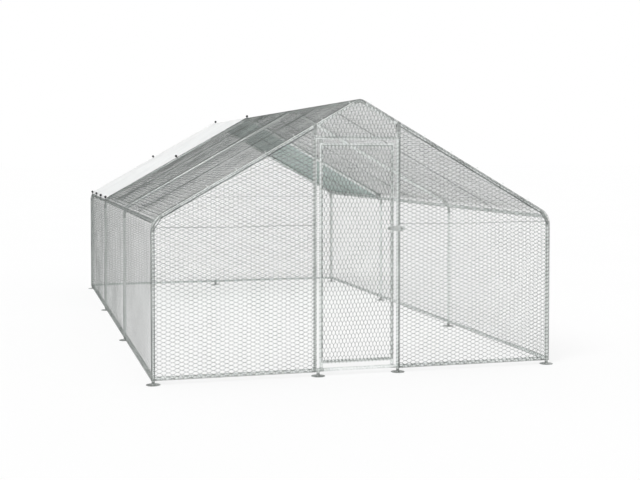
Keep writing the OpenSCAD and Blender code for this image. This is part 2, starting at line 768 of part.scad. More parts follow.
module door_rail(z) {
  color(zinc) difference() {
    pipe_x(stile_l_x, stile_r_x, -half_l, z);
    for (x = [stile_l_x, stile_r_x]) translate([x, -half_l, z - tube_d])
      cylinder(h = 2 * tube_d, r = tube_r + end_gap);
  }
}

module door_net() {
  color(wire_grey) difference() {
    upright(front_y) net_sheet(rectangle(stile_l_x, stile_r_x, low_rail_h, top_rail_h), door_mesh_w, true);
    hasp_zone(stile_r_x - strap_out - zone_gap, stile_r_x + cut);
  }
}

// Strap round the latch stile with the outer knuckles of the hasp's hinge
module hasp_bracket() {
  knuckle_z = knuckle_h / 2;
  arm = knuckle_r - swing_gap;
  color(zinc) translate([stile_r_x, -half_l, hasp_h]) difference() {
    union() {
      mirror([1, 0, 0]) eared_strap(clamp_bolt_d);
      for (z = [-hasp_w / 2, knuckle_z]) translate([0, hasp_y, z]) {
        cylinder(h = hasp_w / 2 - knuckle_z, r = knuckle_r);
        translate([-arm, 0, 0]) cube([2 * arm, -hasp_y - tube_r + strap_t, hasp_w / 2 - knuckle_z]);
      }
    }
    cylinder(h = 2 * hasp_w, r = strap_in, center = true);
    translate([0, hasp_y, 0]) cylinder(h = 2 * hasp_w, r = knuckle_in, center = true);
  }
}

module bracket_bolt() {
  color(dark_zinc) translate([stile_r_x - ear_mid, -half_l - ear_face, hasp_h]) rotate([-90, 0, 0])
    hex_bolt(clamp_bolt_d, 2 * ear_face);
}

module hasp_pin() {
  head = 1.5;
  head_r = knuckle_r - 1;
  pin_l = hasp_w + 2 * end_gap;
  color(dark_zinc) translate([stile_r_x, -half_l + hasp_y, hasp_h]) {
    cylinder(h = pin_l + 2 * head, r = hasp_pin_d / 2, center = true);
    for (z = [-pin_l / 2 - head, pin_l / 2]) translate([0, 0, z]) cylinder(h = head, r = head_r);
  }
}

// Strap that swings over the stud, with a raised rim round its hole and a hole for a pull ring
module hasp_strap() {
  reach = stile_step + hasp_reach - hasp_w / 2;
  stud_x = stile_step + ear_mid;
  tongue_h = knuckle_h - 2 * swing_gap;
  inner = knuckle_r + swing_gap;
  rim = 3;
  rim_t = 1.5;
  ring_hole_d = 6;
  color(dark_zinc) translate([stile_r_x, -half_l + hasp_y, hasp_h]) difference() {
    union() {
      cylinder(h = tongue_h, r = knuckle_r, center = true);
      translate([0, -hasp_t / 2, -tongue_h / 2]) cube([inner + rim, hasp_t, tongue_h]);
      translate([inner, -hasp_t / 2, -hasp_w / 2]) cube([reach - inner, hasp_t, hasp_w]);
      translate([reach, hasp_t / 2, 0]) rotate([90, 0, 0]) cylinder(h = hasp_t, r = hasp_w / 2);
      translate([stud_x, hasp_t / 2, 0]) rotate([90, 0, 0])
        cylinder(h = hasp_t + rim_t, r = stud_hole_d / 2 + rim);
    }
    cylinder(h = hasp_w, r = knuckle_in, center = true);
    translate([stud_x, hasp_t, 0]) rotate([90, 0, 0]) cylinder(h = 3 * hasp_t, r = stud_hole_d / 2);
    translate([reach + ring_hole_d, hasp_t, ring_hole_d]) rotate([90, 0, 0])
      cylinder(h = 2 * hasp_t, r = ring_hole_d / 2);
  }
}

for (k = [0:last_portal]) {
  wall_post(-1, k);
  wall_post(1, k);
  rafter(-1, k);
  rafter(1, k);
}
eave_bends(-1);  // eave_bends_left
eave_bends(1);  // eave_bends_right
ridge_bends();
ridge_purlins();
eave_purlins(-1);  // eave_purlins_left
eave_purlins(1);  // eave_purlins_right
base_rails(-1);  // base_rails_left
base_rails(1);  // base_rails_right
back_rails();
front_rails();
threshold_rail();
base_fittings();
hinge_base();
foot_plates();
door_post(post_l_x);  // door_post_left
door_post(post_r_x);  // door_post_right
lintel();
lintel_plugs();
lintel_bolts();
rafter_clamps();
clamp_bolts();
hinge_pin();
hasp_keeper();
hasp_stud();
wall_net(-1);  // net_left
wall_net(1);  // net_right
net_back();
net_front_left();
net_front_right();
net_gable();
roof_net(-1);  // net_roof_left
roof_net(1);  // net_roof_right
roof_cover();
cover_ties();
door_stile(stile_l_x);  // door_stile_hinge
door_stile(stile_r_x);  // door_stile_latch
stile_caps();
door_rail(top_rail_h);  // door_rail_top
door_rail(low_rail_h);  // door_rail_low
door_net();
hasp_bracket();
bracket_bolt();
hasp_pin();
hasp_strap();
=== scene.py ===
import math

import bpy
import numpy as np
from mathutils import Matrix, Vector


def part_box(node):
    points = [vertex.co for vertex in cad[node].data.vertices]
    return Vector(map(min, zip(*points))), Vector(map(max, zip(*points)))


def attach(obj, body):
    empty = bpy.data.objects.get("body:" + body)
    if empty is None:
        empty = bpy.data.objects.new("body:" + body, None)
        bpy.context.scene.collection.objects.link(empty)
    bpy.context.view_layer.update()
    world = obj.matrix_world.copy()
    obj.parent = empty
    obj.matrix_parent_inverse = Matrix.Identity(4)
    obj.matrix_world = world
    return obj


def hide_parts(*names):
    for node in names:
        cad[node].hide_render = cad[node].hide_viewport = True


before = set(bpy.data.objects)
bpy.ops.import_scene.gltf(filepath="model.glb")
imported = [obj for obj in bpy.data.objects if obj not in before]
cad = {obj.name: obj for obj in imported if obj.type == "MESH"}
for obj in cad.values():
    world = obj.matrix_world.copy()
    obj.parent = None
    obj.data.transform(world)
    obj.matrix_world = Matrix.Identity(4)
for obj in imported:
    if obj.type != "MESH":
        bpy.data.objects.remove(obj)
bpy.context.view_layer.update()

bpy.ops.object.select_all(action="DESELECT")


# Foot plates
# Eleven pressed steel discs with a short welded stem that plugs into the fitting above.
# Hot-dip galvanised and duller than the tubes.

def add_node(tree, kind, inputs=None, **settings):
    made = tree.nodes.new(kind)
    for key, value in settings.items():
        setattr(made, key, value)
    for key, value in (inputs or {}).items():
        if isinstance(value, bpy.types.NodeSocket):
            tree.links.new(value, made.inputs[key])
        else:
            made.inputs[key].default_value = value
    return made


def ramp(tree, factor, stops):
    made = add_node(tree, "ShaderNodeValToRGB", {"Fac": factor})
    steps = made.color_ramp.elements
    while len(steps) < len(stops):
        steps.new(0.5)
    for step, (place, colour) in zip(steps, stops):
        step.position = place
        step.color = (*colour, 1)
    return made.outputs["Color"]


def ranged(tree, value, low, high):
    made = add_node(tree, "ShaderNodeMapRange", {"Value": value, "To Min": low, "To Max": high})
    return made.outputs["Result"]


def maths(tree, operation, a, b):
    made = add_node(tree, "ShaderNodeMath", {0: a, 1: b}, operation=operation)
    return made.outputs["Value"]


# A surface effect that several finishes share: its group, the values given to it and the place on the piece
def start_effect(name, *inputs):
    made = bpy.data.node_groups.new(name, "ShaderNodeTree")
    for label in inputs:
        made.interface.new_socket(label, in_out="INPUT", socket_type="NodeSocketFloat")
    return made, made.nodes.new("NodeGroupInput").outputs, made.nodes.new("ShaderNodeTexCoord").outputs["Object"]


def end_effect(effect, outputs):
    for label in outputs:
        effect.interface.new_socket(label, in_out="OUTPUT", socket_type="NodeSocketFloat")
    add_node(effect, "NodeGroupOutput", outputs)


# Spangle, cloudy stain and fine grain of a galvanised skin
zinc_skin, given, place = start_effect("zinc_skin", "Spangles per metre", "Spangle", "Stain")
crystal = add_node(zinc_skin, "ShaderNodeTexVoronoi", {"Vector": place, "Scale": given["Spangles per metre"]})
leaf = add_node(zinc_skin, "ShaderNodeRGBToBW", {"Color": crystal.outputs["Color"]}).outputs["Val"]
cloud = add_node(zinc_skin, "ShaderNodeTexNoise", {"Vector": place, "Scale": 6.0, "Detail": 5.0}).outputs["Fac"]
grain = add_node(zinc_skin, "ShaderNodeTexNoise", {"Vector": place, "Scale": 700.0, "Detail": 2.0}).outputs["Fac"]
leaf_part = maths(zinc_skin, "MULTIPLY", maths(zinc_skin, "SUBTRACT", leaf, 0.5), given["Spangle"])
cloud_part = maths(zinc_skin, "MULTIPLY", maths(zinc_skin, "SUBTRACT", cloud, 0.5), given["Stain"])
tone = maths(zinc_skin, "ADD", maths(zinc_skin, "ADD", leaf_part, cloud_part), 0.5)
dull = maths(zinc_skin, "ADD", maths(zinc_skin, "MULTIPLY", cloud, 0.7), maths(zinc_skin, "MULTIPLY", leaf, 0.3))
height = maths(zinc_skin, "ADD", maths(zinc_skin, "MULTIPLY", grain, 0.6), maths(zinc_skin, "MULTIPLY", leaf, 0.4))
end_effect(zinc_skin, {"Tone": tone, "Dull": dull, "Height": height})


def zinc_finish(name, dark, light, smooth, rough, metallic, spangles, spangle, stain):
    made = bpy.data.materials.new(name)
    made.use_nodes = True
    tree = made.node_tree
    shader = tree.nodes["Principled BSDF"]
    skin = add_node(tree, "ShaderNodeGroup",
                    {"Spangles per metre": spangles, "Spangle": spangle, "Stain": stain}, node_tree=zinc_skin)
    tree.links.new(ramp(tree, skin.outputs["Tone"], [(0.2, dark), (0.8, light)]), shader.inputs["Base Color"])
    tree.links.new(ranged(tree, skin.outputs["Dull"], smooth, rough), shader.inputs["Roughness"])
    bump = add_node(tree, "ShaderNodeBump",
                    {"Height": skin.outputs["Height"], "Strength": 0.25, "Distance": 0.0004})
    tree.links.new(bump.outputs["Normal"], shader.inputs["Normal"])
    shader.inputs["Metallic"].default_value = metallic
    return made


def dress(names, finish):
    for name in names:
        cad[name].data.materials.clear()
        cad[name].data.materials.append(finish)


plate_zinc = zinc_finish("plate_zinc", (0.20, 0.21, 0.20), (0.48, 0.50, 0.49), 0.35, 0.6, 0.75, 90, 0.5, 1.6)
dress(["foot_plates"], plate_zinc)


# Base frame
# Drawn steel tubes, 25 mm across with a 1 mm wall, that push onto spigoted corner and tee fittings.
# The twin fitting under the left door post also carries the door's lower hinge pin.

tube_zinc = zinc_finish("tube_zinc", (0.71, 0.742, 0.726), (0.94, 0.962, 0.95), 0.25, 0.42, 0.85, 110, 0.55, 1.0)
fitting_zinc = zinc_finish("fitting_zinc", (0.42, 0.447, 0.43), (0.72, 0.75, 0.735), 0.34, 0.55, 0.7, 80, 0.6, 1.2)
dress(["base_rails_left", "base_rails_right", "back_rails", "front_rails", "threshold_rail"], tube_zinc)
dress(["base_fittings", "hinge_base"], fitting_zinc)


# Portals and purlins
# Four bent-tube portals: posts, eave bends, rafters and ridge bends plug into each other.
# Purlins along both eaves and the ridge push onto the stubs of the bends.

portals = range(1, 5)
dress(["%s_%s%d" % (kind, side, k) for kind in ("post", "rafter") for side in "lr" for k in portals], tube_zinc)
dress(["ridge_purlins", "eave_purlins_left", "eave_purlins_right"], tube_zinc)
strap_zinc = zinc_finish("strap_zinc", (0.36, 0.38, 0.37), (0.62, 0.645, 0.63), 0.3, 0.5, 0.75, 100, 0.55, 1.3)
dress(["eave_bends_left", "eave_bends_right", "ridge_bends"], strap_zinc)


# Door frame
# Two door posts bolted under the front rafters with strap clamps, and a lintel between them.
# The clamps are dull galvanised strip, and the bolts are zinc plated and darker.

bolt_zinc = zinc_finish("bolt_zinc", (0.16, 0.17, 0.17), (0.42, 0.43, 0.43), 0.3, 0.5, 0.85, 200, 0.5, 1.2)
dress(["door_post_left", "door_post_right", "lintel"], tube_zinc)
dress(["rafter_clamps"], plate_zinc)
dress(["hinge_pin", "hasp_keeper"], strap_zinc)
dress(["lintel_plugs", "lintel_bolts", "clamp_bolts", "hasp_stud"], bolt_zinc)


# Wall netting
# Hexagonal wire netting: pairs of galvanised wires twisted together, then parted to the next pair.
# It lies on the outside of the tubes and comes off rolls about a metre wide, laid level on the walls.

wire_r = 0.0015
wall_wire_r = 0.0008
roof_wire_r = 0.0013
repeat_l = 0.0636
repeat_w = 0.0285
turned_w = 0.0264
twist_l = 0.0145
twist_beside, twist_lift = 0.45, 0.5
start_along, start_across = 0.3, 0.25
bend_rings, seam_rings, slope_rings = 24, 30, 40
net_bulge = 0.002
calm_edge = 0.12
drift_along, drift_across = 0.0022, 0.0026
# A three-sided wire is drawn this much larger, to look as thick as a round one
three_sided = 1.2
net_zinc = zinc_finish("net_zinc", (0.13, 0.144, 0.136), (0.29, 0.31, 0.30), 0.42, 0.62, 0.6, 60, 0.4, 1.6)


def start_piece(name):
    made = bpy.context.active_object
    made.name = name
    made.data.name = name
    return made


def only(piece):
    bpy.ops.object.select_all(action="DESELECT")
    piece.select_set(True)
    bpy.context.view_layer.objects.active = piece


def apply_all(piece):
    only(piece)
    for name in [m.name for m in piece.modifiers]:
        bpy.ops.object.modifier_apply(modifier=name)


def join(pieces, name):
    bpy.ops.object.select_all(action="DESELECT")
    for piece in pieces:
        piece.select_set(True)
    bpy.context.view_layer.objects.active = pieces[0]
    if len(pieces) > 1:
        bpy.ops.object.join()
    return start_piece(name)


def points_of(piece):
    at = np.empty(len(piece.data.vertices) * 3)
    piece.data.vertices.foreach_get("co", at)
    return at.reshape(-1, 3)


def move_points(piece, at):
    piece.data.vertices.foreach_set("co", np.asarray(at).ravel())
    piece.data.update()


def close_ends(piece, sides):
    only(piece)
    bpy.ops.object.mode_set(mode="EDIT")
    bpy.ops.mesh.select_all(action="SELECT")
    bpy.ops.mesh.fill_holes(sides=sides)
    bpy.ops.mesh.select_all(action="SELECT")
    bpy.ops.mesh.normals_make_consistent(inside=False)
    bpy.ops.object.mode_set(mode="OBJECT")


def finish_with(piece, finish):
    piece.data.materials.clear()
    piece.data.materials.append(finish)


# One wire over one repeat: it crosses one neighbour in the first twist and the other in the second
def zig_wire(side, thick):
    near, far = (repeat_w + side * repeat_w) / 2, repeat_w / 2
    beside, lift = side * twist_beside * thick, side * twist_lift * thick
    points = [Vector((0, near - beside, -lift)), Vector((twist_l, near + beside, -lift)),
              Vector((repeat_l / 2, far + beside, lift)), Vector((repeat_l / 2 + twist_l, far - beside, lift)),
              Vector((repeat_l, near - beside, -lift))]
    leans = [math.atan2(b.y - a.y, b.x - a.x) for a, b in zip(points, points[1:])]
    tilts = [(leans[k - 1] + leans[k % 4]) / 2 for k in range(5)]
    bpy.ops.mesh.primitive_circle_add(vertices=3, radius=thick * three_sided, location=points[0],
                                      rotation=(0, math.radians(90), tilts[0]))
    made = bpy.context.active_object
    bpy.ops.object.transform_apply(location=True, rotation=True, scale=True)
    bpy.ops.object.mode_set(mode="EDIT")
    bpy.ops.mesh.select_all(action="SELECT")
    for k in range(1, 5):
        bpy.ops.mesh.extrude_region_move(TRANSFORM_OT_translate={"value": points[k] - points[k - 1]})
        bpy.ops.transform.rotate(value=tilts[k - 1] - tilts[k], orient_axis="Z", center_override=points[k])
    bpy.ops.mesh.select_all(action="SELECT")
    bpy.ops.mesh.normals_make_consistent(inside=False)
    bpy.ops.object.mode_set(mode="OBJECT")
    return made


repeats = {thick: join([zig_wire(-1, thick), zig_wire(1, thick)], "net_repeat")
           for thick in (wire_r, wall_wire_r, roof_wire_r)}


# A straight edge wire from a to b in the sheet's plane, with rings enough to follow a bend
def edge_wire(a, b, rings=1, thick=wire_r):
    a, b = Vector(a), Vector(b)
    turn = (b - a).to_track_quat("Z", "Y").to_euler()
    bpy.ops.mesh.primitive_circle_add(vertices=4, radius=thick, location=a, rotation=turn)
    made = bpy.context.active_object
    bpy.ops.object.transform_apply(location=True, rotation=True, scale=True)
    bpy.ops.object.mode_set(mode="EDIT")
    bpy.ops.mesh.select_all(action="SELECT")
    for step in range(rings):
        bpy.ops.mesh.extrude_region_move(TRANSFORM_OT_translate={"value": (b - a) / rings})
    bpy.ops.object.mode_set(mode="OBJECT")
    return made


# Netting over length by width, cut along lines (point, outward normal), with edge wires and holes left
# for hardware. Corners are given in the sheet's own plane, and place turns them into the run's frame.
def net_piece(name, node, length, width, place, cuts=(), edges=(), holes=(), body="frame", mesh_w=repeat_w,
              thick=wire_r, press=1, bulge_h=net_bulge):
    made = repeats[thick].copy()
    made.data = repeats[thick].data.copy()
    bpy.context.scene.collection.objects.link(made)
    rows = round(width / mesh_w)
    stretch = width / rows / repeat_w
    made.data.transform(Matrix.Translation((-start_along * repeat_l, -start_across * repeat_w * stretch, 0))
                        @ Matrix.Diagonal((1, stretch, press, 1)))
    for label, count, step in (("along", math.ceil(length / repeat_l) + 1, (repeat_l, 0, 0)),
                               ("across", rows + 1, (0, repeat_w * stretch, 0))):
        row = made.modifiers.new(label, "ARRAY")
        row.use_relative_offset = False
        row.use_constant_offset = True
        row.constant_offset_displace = step
        row.count = count
        row.use_merge_vertices = label == "along"
        row.merge_threshold = 1e-5
    apply_all(made)
    bpy.ops.object.mode_set(mode="EDIT")
    for point, normal in (((0, 0), (-1, 0)), ((length, 0), (1, 0)), ((0, 0), (0, -1)), ((0, width), (0, 1)), *cuts):
        bpy.ops.mesh.select_all(action="SELECT")
        bpy.ops.mesh.bisect(plane_co=(*point, 0), plane_no=(*normal, 0), clear_outer=True)
    bpy.ops.object.mode_set(mode="OBJECT")
    if holes:
        middles = np.empty(len(made.data.polygons) * 3)
        made.data.polygons.foreach_get("center", middles)
        middles = middles.reshape(-1, 3)
        inside = np.zeros(len(middles), bool)
        for u0, u1, v0, v1 in holes:
            inside |= ((middles[:, 0] > u0) & (middles[:, 0] < u1) & (middles[:, 1] > v0) & (middles[:, 1] < v1))
        made.data.polygons.foreach_set("select", inside)
        bpy.ops.object.mode_set(mode="EDIT")
        bpy.ops.mesh.delete(type="FACE")
        bpy.ops.object.mode_set(mode="OBJECT")
    made = join([made] + [edge_wire((*a, 0)[:3], (*b, 0)[:3], rings, thick) for a, b, rings in edges], name)
    u, v, w = points_of(made).T
    calm = np.clip(np.minimum.reduce([u, length - u, v, width - v]) / calm_edge, 0, 1)
    drift_u = drift_along * calm * np.sin(9.1 * v + 2.3 * np.sin(3.7 * u) + length * 7)
    drift_v = drift_across * calm * np.sin(6.3 * u + 1.9 * np.sin(5.1 * v) + width * 5)
    bulge = bulge_h * calm * (1 + np.sin(4.3 * u + 1.1) * np.sin(5.7 * v + 0.4))
    move_points(made, np.stack(place(u + drift_u, v + drift_v, w + bulge), 1))
    close_ends(made, 8)
    finish_with(made, net_zinc)
    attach(made, body)
    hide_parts(node)


# Outline of the run's cross section, from the CAD sizes
half_w = 1.5
half_l = 2.9625
bay_l = 1.975
eave_h = 1.138
ridge_h = 1.994
tube_r = 0.0125
eave_bend_r = 0.1
ridge_bend_r = 0.05
net_n = 0.0147
pitch = math.atan2(ridge_h - eave_h, half_w)
rafter_l = half_w / math.cos(pitch)
eave_turn = math.pi / 2 - pitch
eave_tan = eave_bend_r * math.tan(eave_turn / 2)
ridge_tan = ridge_bend_r * math.tan(pitch)
bend_z = eave_h - eave_tan
wall_top = bend_z + (eave_bend_r + net_n) * eave_turn / 2
net_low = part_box("net_left")[0].z


# Places wall netting: along the wall and up, over the eave bend at the top
def on_wall(side, along_0):
    def place(u, v, w):
        z = net_low + v
        over = np.clip(z - bend_z, 0, None) / (eave_bend_r + net_n)
        reach = eave_bend_r + net_n + w
        x = np.where(over > 0, half_w - eave_bend_r + reach * np.cos(over), half_w + net_n + w)
        z = np.where(over > 0, bend_z + reach * np.sin(over), z)
        return side * x, along_0 + side * u, z
    return place


for side, label in ((-1, "left"), (1, "right")):
    for bay in range(3):
        reach = tube_r if bay != 1 else 0
        start = -half_l + bay * bay_l - (tube_r if bay == 0 else 0)
        length = bay_l + reach
        width = wall_top - net_low
        edges = [((0, 0), (length, 0), 1), ((0, width), (length, width), 1)]
        if bay != 1:
            end = 0 if (bay == 0) == (side > 0) else length
            edges.append(((end, 0), (end, width), bend_rings))
        origin = start if side > 0 else start + length
        net_piece("wall_net_%s_%d" % (label, bay + 1), "net_%s" % label, length, width,
                  on_wall(side, origin), edges=edges, thick=wall_wire_r)


# Gable netting
# The same netting on the front and back gables, cut to the rafters, in two widths with a level seam.
# Over the door the strip is turned, so its twists stand upright.

gable_n = tube_r / 2
chord_x = half_w - eave_tan * math.cos(pitch) + gable_n * math.sin(pitch)
seam_z = 1.092
folds = (0.0165, 0.0195)
edge_drop = 0.04


def rafter_z(x):
    return ridge_h - abs(x) * math.tan(pitch)


def gable_top(x):
    return rafter_z(x) + gable_n / math.cos(pitch)


def on_gable(side, x0, z0, y):
    def place(u, v, w):
        return x0 - side * u, y + side * w, z0 + v
    return place


# Cuts and edge wires of a gable sheet between x0 and x1, seen from outside
def gable_sheet(name, node, x0, x1, side, holes=()):
    low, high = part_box(node)
    y = (low.y + high.y) / 2
    start = x1 if side > 0 else x0

    def flat(x, z):
        return ((start - x) if side > 0 else (x - start)), z - net_low

    def across(a, b):
        (ua, va), (ub, vb) = a, b
        size = math.hypot(vb - va, ua - ub)
        return (vb - va) / size, (ua - ub) / size

    outline = []
    if x1 > chord_x:
        outline += [(x1, bend_z), (chord_x, gable_top(chord_x))]
    else:
        outline += [(x1, gable_top(x1))]
    if x0 < 0 < x1:
        outline += [(0, gable_top(0))]
    if x0 < -chord_x:
        outline += [(-chord_x, gable_top(chord_x)), (x0, bend_z)]
    else:
        outline += [(x0, gable_top(x0))]
    corners = [flat(x, z) for x, z in outline]
    cuts, edges = [], []
    for a, b in zip(corners, corners[1:]):
        nu, nv = across(a, b)
        if nv < 0:
            nu, nv = -nu, -nv
        cuts.append((a, (nu, nv)))
        edges.append((a, b, 1))
        for fold in folds:
            edges.append(((a[0] - fold * nu, a[1] - fold * nv), (b[0] - fold * nu, b[1] - fold * nv), 1))
    seam = seam_z - net_low
    seam_ends = sorted(flat(x, 0)[0] for x in (x0, x1))
    edges.append(((seam_ends[0], seam), (seam_ends[1], seam), seam_rings))
    edges.append(((seam_ends[0], 0), (seam_ends[1], 0), 1))
    for end in (x0, x1):
        u = flat(end, 0)[0]
        top = bend_z if abs(end) > chord_x else gable_top(end) - edge_drop
        edges.append(((u, 0), (u, top - net_low), 1))
        inward = 1 if u < (x1 - x0) / 2 else -1
        reach = tube_r if abs(end) > chord_x else 0
        u += inward * (reach + folds[0] - gable_n)
        edges.append(((u, 0), (u, top - net_low), 1))
    boxes = []
    for h0, h1, z0, z1 in holes:
        u0, u1 = sorted((flat(h0, 0)[0], flat(h1, 0)[0]))
        boxes.append((u0, u1, z0 - net_low, z1 - net_low))
    top = max(v for u, v in corners)
    net_piece(name, node, x1 - x0, top, on_gable(side, start, net_low, y), cuts, edges, boxes)


post_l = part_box("door_post_left")
post_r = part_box("door_post_right")
post_l_x = (post_l[0].x + post_l[1].x) / 2
post_r_x = (post_r[0].x + post_r[1].x) / 2
post_gap = 0.0003
clamp_half = 0.0235
clamp_drop, clamp_rise = 0.066, 0.1
hasp_room = 0.003
hasp_low, hasp_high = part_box("hasp_strap")[0].z - hasp_room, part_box("hasp_strap")[1].z + hasp_room
keeper_start, keeper_end = post_r_x - 0.02, 0.33


def clamp_hole(x):
    return (x - clamp_half, x + clamp_half, rafter_z(x) - clamp_drop, rafter_z(x) + clamp_rise)


gable_sheet("gable_net_back", "net_back", -half_w - tube_r, half_w + tube_r, 1)
gable_sheet("gable_net_left", "net_front_left", -half_w - tube_r, post_l_x - post_gap, -1, [clamp_hole(post_l_x)])
gable_sheet("gable_net_right", "net_front_right", post_r_x + post_gap, half_w + tube_r, -1,
            [clamp_hole(post_r_x), (keeper_start, keeper_end, hasp_low, hasp_high)])


# Turned netting: twists upright, u up and v towards -X
def on_turned(x0, z0, y):
    def place(u, v, w):
        return x0 - v, y - w, z0 + u
    return place


over_low, over_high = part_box("net_gable")
over_y = (over_low.y + over_high.y) / 2
lintel_z = (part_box("lintel")[0].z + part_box("lintel")[1].z) / 2
u_left, u_right, u_ridge = (gable_top(x) - lintel_z for x in (over_low.x, over_high.x, 0))
v_left, v_ridge = over_high.x - over_low.x, over_high.x
holes = []
for x in (post_l_x, post_r_x):
    h0, h1, z0, z1 = clamp_hole(x)
    holes.append((z0 - lintel_z, z1 - lintel_z, over_high.x - h1, over_high.x - h0))
over_corners = [(0, 0), (u_right, 0), (u_ridge, v_ridge), (u_left, v_left), (0, v_left)]
over_edges = [(a, b, 1) for a, b in zip(over_corners, over_corners[1:] + over_corners[:1])]
over_cuts = [((u_ridge, v_ridge), (math.cos(pitch), -math.sin(pitch))),
             ((u_ridge, v_ridge), (math.cos(pitch), math.sin(pitch)))]
net_piece("gable_net_door", "net_gable", u_ridge, v_left, on_turned(over_high.x, lintel_z, over_y),
          over_cuts, over_edges, holes, mesh_w=turned_w)


# Roof netting
# Metre-wide strips laid up the slopes and over the rounded ridge, their edges folded up and wired.
# The lower edges are folded round the eave purlins, where they meet the wall netting.

roof_low = eave_tan - (eave_bend_r + net_n) * eave_turn / 2
roof_bend_s = rafter_l - ridge_tan
ridge_gap = 0.001
roof_top = roof_bend_s + (ridge_bend_r + net_n) * pitch - ridge_gap
clamp_depth = 0.03
seam_step = 0.0028
seam_end = 0.09
# The slopes are seen nearly edge on, so each bay's wire is pressed to this share of its height
wire_press = {"left": (0.42, 0.42, 0.3), "right": (0.55, 0.55, 0.3)}


# Distance up the slope at which a rafter passes over x
def rafter_s(x):
    return rafter_l - abs(x) / math.cos(pitch)


# Places a sheet on the roof: s up the slope from the eave corner, y along the run, n off the rafters
def on_roof(side, s, y, n):
    cp, sp = math.cos(pitch), math.sin(pitch)
    straight = np.clip(s, eave_tan, roof_bend_s)
    x = -half_w + straight * cp
    z = eave_h + straight * sp
    down = np.clip(eave_tan - s, 0, None) / (eave_bend_r + net_n)
    up = np.clip(s - roof_bend_s, 0, None) / (ridge_bend_r + net_n)
    bend = np.where(down > 0, eave_bend_r, ridge_bend_r)
    turn = up - down
    across = bend + n
    x = x + bend * sp + across * (-sp * np.cos(turn) + cp * np.sin(turn))
    z = z - bend * cp + across * (cp * np.cos(turn) + sp * np.sin(turn))
    return -side * x, y, z


def on_slope(side, start):
    def place(u, v, w):
        return on_roof(side, roof_low + u, start - side * v, net_n + w)
    return place


for side, label in ((-1, "left"), (1, "right")):
    for bay in range(3):
        start = -half_l + bay * bay_l - (tube_r if bay == 0 else 0)
        width = bay_l + (tube_r if bay != 1 else 0)
        length = roof_top - roof_low
        edges = [((0, 0), (0, width), 1), ((length, 0), (length, width), 1)]
        middle = -half_l + (bay + 0.5) * bay_l - start
        near, far = (0, width) if side < 0 else (width, 0)
        middle = middle if side < 0 else width - middle
        stand = seam_step if bay < 2 else -seam_step
        # Edge and seam wires (place across, height): seams stand up mid-bay, and hang down under the cover
        lines = [(near, 0), (far, 0), (middle, 0), (middle, stand)]
        if side < 0:
            lines.append((middle, 2 * stand))
        if side < 0 and bay == 0:
            lines += [(far, stand), (far, 2 * stand)]
        for v, h in lines:
            short = seam_end if h else 0
            edges.append(((short, v, h), (length - short, v, h), slope_rings))
        holes = []
        if bay == 0:
            post = post_l_x if side < 0 else post_r_x
            s = rafter_s(post) - roof_low
            v0, v1 = (0, clamp_depth) if side < 0 else (width - clamp_depth, width)
            holes.append((s - clamp_half, s + clamp_half, v0, v1))
        net_piece("roof_net_%s_%d" % (label, bay + 1), "net_roof_%s" % label, length, width,
                  on_slope(side, start if side < 0 else start + width), edges=edges, holes=holes,
                  thick=roof_wire_r, press=wire_press[label][bay], bulge_h=-net_bulge)


# Lacing wire
# Galvanised wire wound double round corner and door posts, rails and purlins and the netting on them.
# The front right rafter is wound too. Middle tubes have single rings, and end rafters twisted knots.

lace_r = 0.0136
lace_wire_r = 0.0008
lace_lift = 0.18
strand_gap = 2.2 * lace_wire_r
turn_steps = 9
ring_r = 0.0155
lace_zinc = zinc_finish("lace_zinc", (0.22, 0.24, 0.23), (0.42, 0.445, 0.43), 0.4, 0.6, 0.6, 60, 0.4, 1.4)


# Two wires wound side by side round a tube from a to b, eased off it on the sides where netting lies
def wound(a, b, pitch_l, *outs):
    a, b = Vector(a), Vector(b)
    turns = max(1, round((b - a).length / pitch_l))
    strands = []
    for lift in (0, strand_gap):
        bpy.ops.mesh.primitive_circle_add(vertices=3, radius=lace_wire_r * three_sided, location=(lace_r, 0, lift),
                                          rotation=(math.radians(90), 0, 0))
        bpy.ops.object.transform_apply(location=True, rotation=True, scale=True)
        strands.append(bpy.context.active_object)
    made = join(strands, "lace")
    coil = made.modifiers.new("coil", "SCREW")
    coil.axis = "Z"
    coil.angle = 2 * math.pi
    coil.screw_offset = (b - a).length / turns
    coil.iterations = turns
    coil.steps = coil.render_steps = turn_steps
    apply_all(made)
    made.matrix_world = Matrix.Translation(a) @ (b - a).to_track_quat("Z", "Y").to_matrix().to_4x4()
    bpy.ops.object.transform_apply(location=True, rotation=True, scale=True)
    at = points_of(made)
    for out in outs:
        at += np.outer(lace_lift * np.clip((at - np.array(a)) @ np.array(out), 0, None), out)
    move_points(made, at)
    return made


def ring_tie(at, along, thick=lace_wire_r):
    bpy.ops.mesh.primitive_torus_add(major_radius=ring_r, minor_radius=thick, major_segments=12,
                                     minor_segments=3, location=at,
                                     rotation=Vector(along).to_track_quat("Z", "Y").to_euler())
    made = bpy.context.active_object
    bpy.ops.object.transform_apply(location=True, rotation=True, scale=True)
    return made


def lacing(name, pieces, body, finish=lace_zinc):
    made = join(pieces, name)
    close_ends(made, 4)
    finish_with(made, finish)
    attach(made, body)


wind_gap = 0.03
head_gap = 0.02
hinge_room = 0.07
base_z = 0.045
post_foot_z = 0.075
post_head_z = bend_z - 0.025
mesh_pitch = repeat_w
rail_pitch = repeat_l / 2
front_y, back_y = -half_l, half_l
portal_ys = [-half_l + k * bay_l for k in range(4)]
eave_x = -half_w + eave_bend_r - eave_bend_r * math.cos(eave_turn / 2)
eave_z = bend_z + eave_bend_r * math.sin(eave_turn / 2)
ridge_z = ridge_h - ridge_bend_r / math.cos(pitch) + ridge_bend_r


def slope_point(side, s, y):
    return (side * (half_w - s * math.cos(pitch)), y, eave_h + s * math.sin(pitch))


def up_slope(side):
    return (-side * math.cos(pitch), 0, math.sin(pitch))


